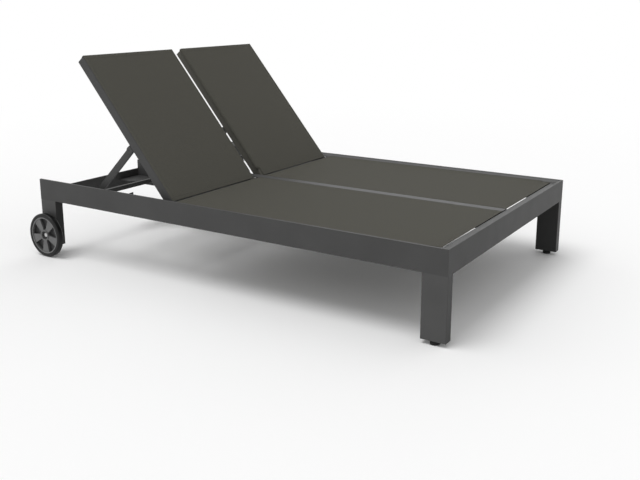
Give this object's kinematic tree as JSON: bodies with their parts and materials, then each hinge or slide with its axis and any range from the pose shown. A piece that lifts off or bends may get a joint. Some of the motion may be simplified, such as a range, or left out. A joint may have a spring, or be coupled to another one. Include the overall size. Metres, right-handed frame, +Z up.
{
  "type": "double chaise lounger",
  "caption": "Low outdoor lounger for two with a joined frame, sling seats, separate reclining backrests on ratchet props, and wheels at the head end.",
  "frame": {"origin": "on the ground, under the middle of the lounger's overall length and width", "axes": "+X from the head end to the foot end, +Y to the lounger's left-hand side as seen by a user lying on it, +Z up"},
  "size_m": [2.0394, 1.346, 0.9008],
  "materials": {
    "frame_metal": "matt grey powder coat",
    "sling_fabric": "woven outdoor mesh",
    "black_plastic": "moulded",
    "grey_plastic": "moulded",
    "tyre_rubber": "solid, smooth",
    "steel": "zinc plated"
  },
  "bodies": {
    "frame": {"side_rail_left": "frame_metal", "side_rail_right": "frame_metal", "foot_rail": "frame_metal", "head_rail": "frame_metal", "centre_beam": "frame_metal", "lower_beam": "frame_metal", "front_leg_left": "frame_metal", "front_leg_right": "frame_metal", "rear_leg_left": "frame_metal", "rear_leg_right": "frame_metal", "leg_plugs": "black_plastic", "seat_head_bar_left": "frame_metal", "seat_head_bar_right": "frame_metal", "seat_mid_bar_left": "frame_metal", "seat_mid_bar_right": "frame_metal", "seat_foot_bar_left": "frame_metal", "seat_foot_bar_right": "frame_metal", "seat_inner_rail_left": "frame_metal", "seat_inner_rail_right": "frame_metal", "seat_sling_left": "sling_fabric", "seat_sling_right": "sling_fabric", "hinge_plates": "steel", "hinge_pins": "steel", "outer_rack_left": "frame_metal", "outer_rack_right": "frame_metal", "inner_rack_left": "frame_metal", "inner_rack_right": "frame_metal", "rack_screws": "steel", "beam_cleats": "frame_metal", "axle_bolts": "steel", "axle_spacers": "black_plastic", "axle_washers": "steel", "axle_nuts": "steel"},
    "backrest_left": {"back_outer_tube_left": "frame_metal", "back_inner_tube_left": "frame_metal", "back_top_tube_left": "frame_metal", "back_bottom_tube_left": "frame_metal", "back_sling_left": "sling_fabric", "prop_lugs_left": "frame_metal"},
    "backrest_right": {"back_outer_tube_right": "frame_metal", "back_inner_tube_right": "frame_metal", "back_top_tube_right": "frame_metal", "back_bottom_tube_right": "frame_metal", "back_sling_right": "sling_fabric", "prop_lugs_right": "frame_metal"},
    "prop_left": {"prop_outer_arm_left": "frame_metal", "prop_inner_arm_left": "frame_metal", "prop_bar_left": "frame_metal", "prop_pins_left": "steel"},
    "prop_right": {"prop_outer_arm_right": "frame_metal", "prop_inner_arm_right": "frame_metal", "prop_bar_right": "frame_metal", "prop_pins_right": "steel"},
    "wheel_left": {"wheel_hub_left": "grey_plastic", "wheel_tyre_left": "tyre_rubber"},
    "wheel_right": {"wheel_hub_right": "grey_plastic", "wheel_tyre_right": "tyre_rubber"},
    "glide_left": {"glide_left": "black_plastic"},
    "glide_right": {"glide_right": "black_plastic"}
  },
  "joints": [
    {"name": "backrest_left_recline", "type": "hinge", "parent": "frame", "child": "backrest_left", "pos_m": [-0.22385, 0.306, 0.3205], "axis": [0, 1, 0], "range_deg": [-49, 22]},
    {"name": "backrest_right_recline", "type": "hinge", "parent": "frame", "child": "backrest_right", "pos_m": [-0.22385, -0.306, 0.3205], "axis": [0, 1, 0], "range_deg": [-49, 22]},
    {"name": "prop_left_fold", "type": "hinge", "parent": "backrest_left", "child": "prop_left", "pos_m": [-0.45574, 0.306, 0.51907], "axis": [0, 1, 0], "range_deg": [-42, 93.5]},
    {"name": "prop_right_fold", "type": "hinge", "parent": "backrest_right", "child": "prop_right", "pos_m": [-0.45574, -0.306, 0.51907], "axis": [0, 1, 0], "range_deg": [-42, 93.5]},
    {"name": "wheel_left_spin", "type": "hinge", "parent": "frame", "child": "wheel_left", "pos_m": [-0.92025, 0.6595, 0.0995], "axis": [0, 1, 0], "continuous": true},
    {"name": "wheel_right_spin", "type": "hinge", "parent": "frame", "child": "wheel_right", "pos_m": [-0.92025, -0.6595, 0.0995], "axis": [0, 1, 0], "continuous": true},
    {"name": "glide_left_height", "type": "slide", "parent": "frame", "child": "glide_left", "axis": [0, 0, -1], "range_m": [0, 0.008]},
    {"name": "glide_right_height", "type": "slide", "parent": "frame", "child": "glide_right", "axis": [0, 0, -1], "range_m": [0, 0.008]}
  ],
  "couplings": [
    {"joint": "prop_left_fold", "follows": "backrest_left_recline", "ratio": -1.906},
    {"joint": "prop_right_fold", "follows": "backrest_right_recline", "ratio": -1.906}
  ]
}
